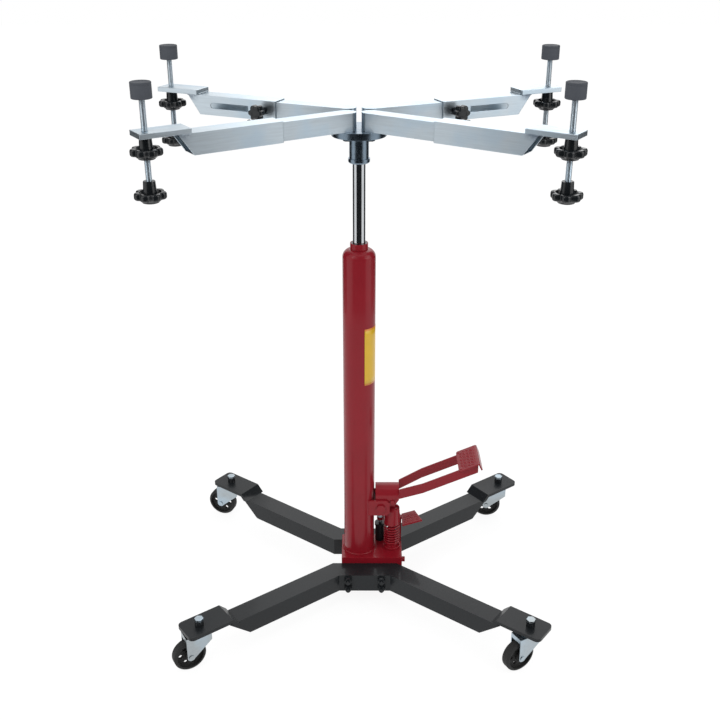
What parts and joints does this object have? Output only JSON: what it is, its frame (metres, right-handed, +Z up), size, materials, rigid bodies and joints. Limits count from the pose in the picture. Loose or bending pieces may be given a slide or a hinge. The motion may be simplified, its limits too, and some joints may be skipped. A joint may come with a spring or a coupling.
{
  "type": "foot pump column jack",
  "caption": "Foot-operated hydraulic column jack on four castors, with a turning saddle, telescopic swing arms and screw-adjusted rubber pads.",
  "frame": {"origin": "on the floor, under the axis of the column and ram", "axes": "+Z up along the column; +X towards the pump pedal; +Y towards the rear pair of arms"},
  "size_m": [1.0858, 0.838, 1.5596],
  "materials": {
    "red_paint": "gloss",
    "black_paint": "satin",
    "zinc_plate": "satin",
    "chrome": "polished",
    "bare_steel": "satin",
    "grip_plastic": "matte",
    "pad_rubber": "matte",
    "wheel_black": "matte"
  },
  "bodies": {
    "base": {"front_leg_frame": "black_paint", "rear_leg_frame": "black_paint", "leg_studs": "black_paint", "castor_bolts": "zinc_plate", "pump_block": "red_paint", "column_tube": "red_paint", "inner_cylinder": "bare_steel", "gland": "red_paint", "rod_wiper": "grip_plastic", "pedal_bracket": "red_paint", "pedal_pivot_bolt": "red_paint", "pump_barrel": "red_paint", "return_spring": "red_paint", "release_bracket": "red_paint", "release_valve": "black_paint"},
    "front_left_castor": {"front_left_fork": "zinc_plate"},
    "front_left_wheel": {"front_left_wheel": "wheel_black"},
    "front_right_castor": {"front_right_fork": "zinc_plate"},
    "front_right_wheel": {"front_right_wheel": "wheel_black"},
    "rear_left_castor": {"rear_left_fork": "zinc_plate"},
    "rear_left_wheel": {"rear_left_wheel": "wheel_black"},
    "rear_right_castor": {"rear_right_fork": "zinc_plate"},
    "rear_right_wheel": {"rear_right_wheel": "wheel_black"},
    "ram": {"piston_rod": "chrome", "piston": "bare_steel", "piston_seal": "grip_plastic"},
    "saddle": {"saddle_socket": "bare_steel", "saddle_disc": "bare_steel", "saddle_screws": "bare_steel"},
    "front_left_arm": {"front_left_inner_arm": "zinc_plate"},
    "front_left_sleeve": {"front_left_sleeve": "zinc_plate"},
    "front_left_clamp": {"front_left_clamp_knob": "grip_plastic"},
    "front_left_pad": {"front_left_pad": "pad_rubber"},
    "front_left_spindle": {"front_left_spindle": "zinc_plate"},
    "front_left_lock_nut": {"front_left_lock_nut": "grip_plastic"},
    "front_right_arm": {"front_right_inner_arm": "zinc_plate"},
    "front_right_sleeve": {"front_right_sleeve": "zinc_plate"},
    "front_right_clamp": {"front_right_clamp_knob": "grip_plastic"},
    "front_right_pad": {"front_right_pad": "pad_rubber"},
    "front_right_spindle": {"front_right_spindle": "zinc_plate"},
    "front_right_lock_nut": {"front_right_lock_nut": "grip_plastic"},
    "rear_left_arm": {"rear_left_inner_arm": "zinc_plate"},
    "rear_left_sleeve": {"rear_left_sleeve": "zinc_plate"},
    "rear_left_clamp": {"rear_left_clamp_knob": "grip_plastic"},
    "rear_left_pad": {"rear_left_pad": "pad_rubber"},
    "rear_left_spindle": {"rear_left_spindle": "zinc_plate"},
    "rear_left_lock_nut": {"rear_left_lock_nut": "grip_plastic"},
    "rear_right_arm": {"rear_right_inner_arm": "zinc_plate"},
    "rear_right_sleeve": {"rear_right_sleeve": "zinc_plate"},
    "rear_right_clamp": {"rear_right_clamp_knob": "grip_plastic"},
    "rear_right_pad": {"rear_right_pad": "pad_rubber"},
    "rear_right_spindle": {"rear_right_spindle": "zinc_plate"},
    "rear_right_lock_nut": {"rear_right_lock_nut": "grip_plastic"},
    "pump_pedal": {"pedal_hub": "red_paint", "pedal_bars": "red_paint", "pedal_tread": "red_paint"},
    "link": {"pump_link": "red_paint"},
    "plunger": {"plunger": "red_paint"},
    "release_pedal": {"release_pedal": "red_paint"},
    "valve_stem": {"valve_stem": "bare_steel"}
  },
  "joints": [
    {"name": "front_left_castor_swivel", "type": "hinge", "parent": "base", "child": "front_left_castor", "pos_m": [-0.43138, -0.36383, 0.11], "axis": [0, 0, 1], "continuous": true},
    {"name": "front_left_wheel_roll", "type": "hinge", "parent": "front_left_castor", "child": "front_left_wheel", "pos_m": [-0.46256, -0.38183, 0.046], "axis": [0.5, -0.866, 0], "continuous": true},
    {"name": "front_right_castor_swivel", "type": "hinge", "parent": "base", "child": "front_right_castor", "pos_m": [0.46538, -0.36383, 0.11], "axis": [0, 0, 1], "continuous": true},
    {"name": "front_right_wheel_roll", "type": "hinge", "parent": "front_right_castor", "child": "front_right_wheel", "pos_m": [0.4342, -0.38183, 0.046], "axis": [0.5, -0.866, 0], "continuous": true},
    {"name": "rear_left_castor_swivel", "type": "hinge", "parent": "base", "child": "rear_left_castor", "pos_m": [-0.43138, 0.36383, 0.11], "axis": [0, 0, 1], "continuous": true},
    {"name": "rear_left_wheel_roll", "type": "hinge", "parent": "rear_left_castor", "child": "rear_left_wheel", "pos_m": [-0.46562, 0.37495, 0.046], "axis": [-0.309, -0.9511, 0], "continuous": true},
    {"name": "rear_right_castor_swivel", "type": "hinge", "parent": "base", "child": "rear_right_castor", "pos_m": [0.46538, 0.36383, 0.11], "axis": [0, 0, 1], "continuous": true},
    {"name": "rear_right_wheel_roll", "type": "hinge", "parent": "rear_right_castor", "child": "rear_right_wheel", "pos_m": [0.42958, 0.36759, 0.046], "axis": [-0.1045, -0.9945, 0], "continuous": true},
    {"name": "ram_lift", "type": "slide", "parent": "base", "child": "ram", "axis": [0, 0, 1], "range_m": [-0.205, 0.58]},
    {"name": "saddle_turn", "type": "hinge", "parent": "ram", "child": "saddle", "pos_m": [0, 0, 1.325], "axis": [0, 0, 1], "continuous": true},
    {"name": "front_left_arm_swing", "type": "hinge", "parent": "saddle", "child": "front_left_arm", "pos_m": [-0.029, -0.03, 1.4136], "axis": [0, 0, 1], "range_deg": [-18, 42]},
    {"name": "front_left_arm_extend", "type": "slide", "parent": "front_left_arm", "child": "front_left_sleeve", "axis": [-0.8387, -0.5446, 0], "range_m": [-0.14, 0]},
    {"name": "front_left_clamp_turn", "type": "hinge", "parent": "front_left_arm", "child": "front_left_clamp", "pos_m": [-0.23739, -0.12956, 1.4161], "axis": [-0.5446, 0.8387, 0], "range_deg": [0, 360]},
    {"name": "front_left_pad_lift", "type": "slide", "parent": "front_left_sleeve", "child": "front_left_pad", "axis": [0, 0, 1], "range_m": [-0.0602, 0.0442]},
    {"name": "front_left_spindle_turn", "type": "hinge", "parent": "front_left_pad", "child": "front_left_spindle", "pos_m": [-0.46846, -0.31539, 1.4536], "axis": [0, 0, 1], "range_deg": [-10800, 7920]},
    {"name": "front_left_lock_nut_turn", "type": "hinge", "parent": "front_left_sleeve", "child": "front_left_lock_nut", "pos_m": [-0.46846, -0.31539, 1.4116], "axis": [0, 0, 1], "continuous": true},
    {"name": "front_right_arm_swing", "type": "hinge", "parent": "saddle", "child": "front_right_arm", "pos_m": [0.029, -0.03, 1.4136], "axis": [0, 0, 1], "range_deg": [-42, 18]},
    {"name": "front_right_arm_extend", "type": "slide", "parent": "front_right_arm", "child": "front_right_sleeve", "axis": [0.8387, -0.5446, 0], "range_m": [-0.14, 0]},
    {"name": "front_right_clamp_turn", "type": "hinge", "parent": "front_right_arm", "child": "front_right_clamp", "pos_m": [0.23739, -0.12956, 1.4161], "axis": [0.5446, 0.8387, 0], "range_deg": [0, 360]},
    {"name": "front_right_pad_lift", "type": "slide", "parent": "front_right_sleeve", "child": "front_right_pad", "axis": [0, 0, 1], "range_m": [-0.0602, 0.0442]},
    {"name": "front_right_spindle_turn", "type": "hinge", "parent": "front_right_pad", "child": "front_right_spindle", "pos_m": [0.46846, -0.31539, 1.4536], "axis": [0, 0, 1], "range_deg": [-10800, 7920]},
    {"name": "front_right_lock_nut_turn", "type": "hinge", "parent": "front_right_sleeve", "child": "front_right_lock_nut", "pos_m": [0.46846, -0.31539, 1.4116], "axis": [0, 0, 1], "continuous": true},
    {"name": "rear_left_arm_swing", "type": "hinge", "parent": "saddle", "child": "rear_left_arm", "pos_m": [-0.029, 0.03, 1.4136], "axis": [0, 0, 1], "range_deg": [-51, 9]},
    {"name": "rear_left_arm_extend", "type": "slide", "parent": "rear_left_arm", "child": "rear_left_sleeve", "axis": [-0.9135, 0.4067, 0], "range_m": [-0.14, 0]},
    {"name": "rear_left_clamp_turn", "type": "hinge", "parent": "rear_left_arm", "child": "rear_left_clamp", "pos_m": [-0.2504, 0.09574, 1.4161], "axis": [-0.4067, -0.9135, 0], "range_deg": [0, 360]},
    {"name": "rear_left_pad_lift", "type": "slide", "parent": "rear_left_sleeve", "child": "rear_left_pad", "axis": [0, 0, 1], "range_m": [-0.0602, 0.0442]},
    {"name": "rear_left_spindle_turn", "type": "hinge", "parent": "rear_left_pad", "child": "rear_left_spindle", "pos_m": [-0.5077, 0.24313, 1.4536], "axis": [0, 0, 1], "range_deg": [-10800, 7920]},
    {"name": "rear_left_lock_nut_turn", "type": "hinge", "parent": "rear_left_sleeve", "child": "rear_left_lock_nut", "pos_m": [-0.5077, 0.24313, 1.4116], "axis": [0, 0, 1], "continuous": true},
    {"name": "rear_right_arm_swing", "type": "hinge", "parent": "saddle", "child": "rear_right_arm", "pos_m": [0.029, 0.03, 1.4136], "axis": [0, 0, 1], "range_deg": [-9, 51]},
    {"name": "rear_right_arm_extend", "type": "slide", "parent": "rear_right_arm", "child": "rear_right_sleeve", "axis": [0.9135, 0.4067, 0], "range_m": [-0.14, 0]},
    {"name": "rear_right_clamp_turn", "type": "hinge", "parent": "rear_right_arm", "child": "rear_right_clamp", "pos_m": [0.2504, 0.09574, 1.4161], "axis": [0.4067, -0.9135, 0], "range_deg": [0, 360]},
    {"name": "rear_right_pad_lift", "type": "slide", "parent": "rear_right_sleeve", "child": "rear_right_pad", "axis": [0, 0, 1], "range_m": [-0.0602, 0.0442]},
    {"name": "rear_right_spindle_turn", "type": "hinge", "parent": "rear_right_pad", "child": "rear_right_spindle", "pos_m": [0.5077, 0.24313, 1.4536], "axis": [0, 0, 1], "range_deg": [-10800, 7920]},
    {"name": "rear_right_lock_nut_turn", "type": "hinge", "parent": "rear_right_sleeve", "child": "rear_right_lock_nut", "pos_m": [0.5077, 0.24313, 1.4116], "axis": [0, 0, 1], "continuous": true},
    {"name": "pump_pedal_press", "type": "hinge", "parent": "base", "child": "pump_pedal", "pos_m": [0.064, 0, 0.287], "axis": [0, 1, 0], "range_deg": [0, 25], "stiffness_Nm_per_rad": 4, "springref_deg": -57.3},
    {"name": "link_swing", "type": "hinge", "parent": "pump_pedal", "child": "link", "pos_m": [0.098, 0, 0.305], "axis": [0, 1, 0], "range_deg": [-20, 0]},
    {"name": "plunger_stroke", "type": "slide", "parent": "base", "child": "plunger", "axis": [0, 0, 1], "range_m": [-0.016, 0], "deforming": ["return_spring"]},
    {"name": "release_pedal_press", "type": "hinge", "parent": "base", "child": "release_pedal", "pos_m": [0.12, 0.039, 0.204], "axis": [0, 1, 0], "range_deg": [0, 8], "stiffness_Nm_per_rad": 0.6, "springref_deg": -57.3},
    {"name": "valve_stem_pull", "type": "slide", "parent": "base", "child": "valve_stem", "axis": [0, 0, 1], "range_m": [0, 0.009]}
  ],
  "couplings": [
    {"joint": "front_left_pad_lift", "follows": "front_left_spindle_turn", "m_per_rad": 0.00031831},
    {"joint": "front_right_pad_lift", "follows": "front_right_spindle_turn", "m_per_rad": 0.00031831},
    {"joint": "rear_left_pad_lift", "follows": "rear_left_spindle_turn", "m_per_rad": 0.00031831},
    {"joint": "rear_right_pad_lift", "follows": "rear_right_spindle_turn", "m_per_rad": 0.00031831},
    {"joint": "link_swing", "follows": "pump_pedal_press", "ratio": -0.784},
    {"joint": "plunger_stroke", "follows": "pump_pedal_press", "m_per_rad": -0.03632},
    {"joint": "valve_stem_pull", "follows": "release_pedal_press", "m_per_rad": 0.06}
  ]
}
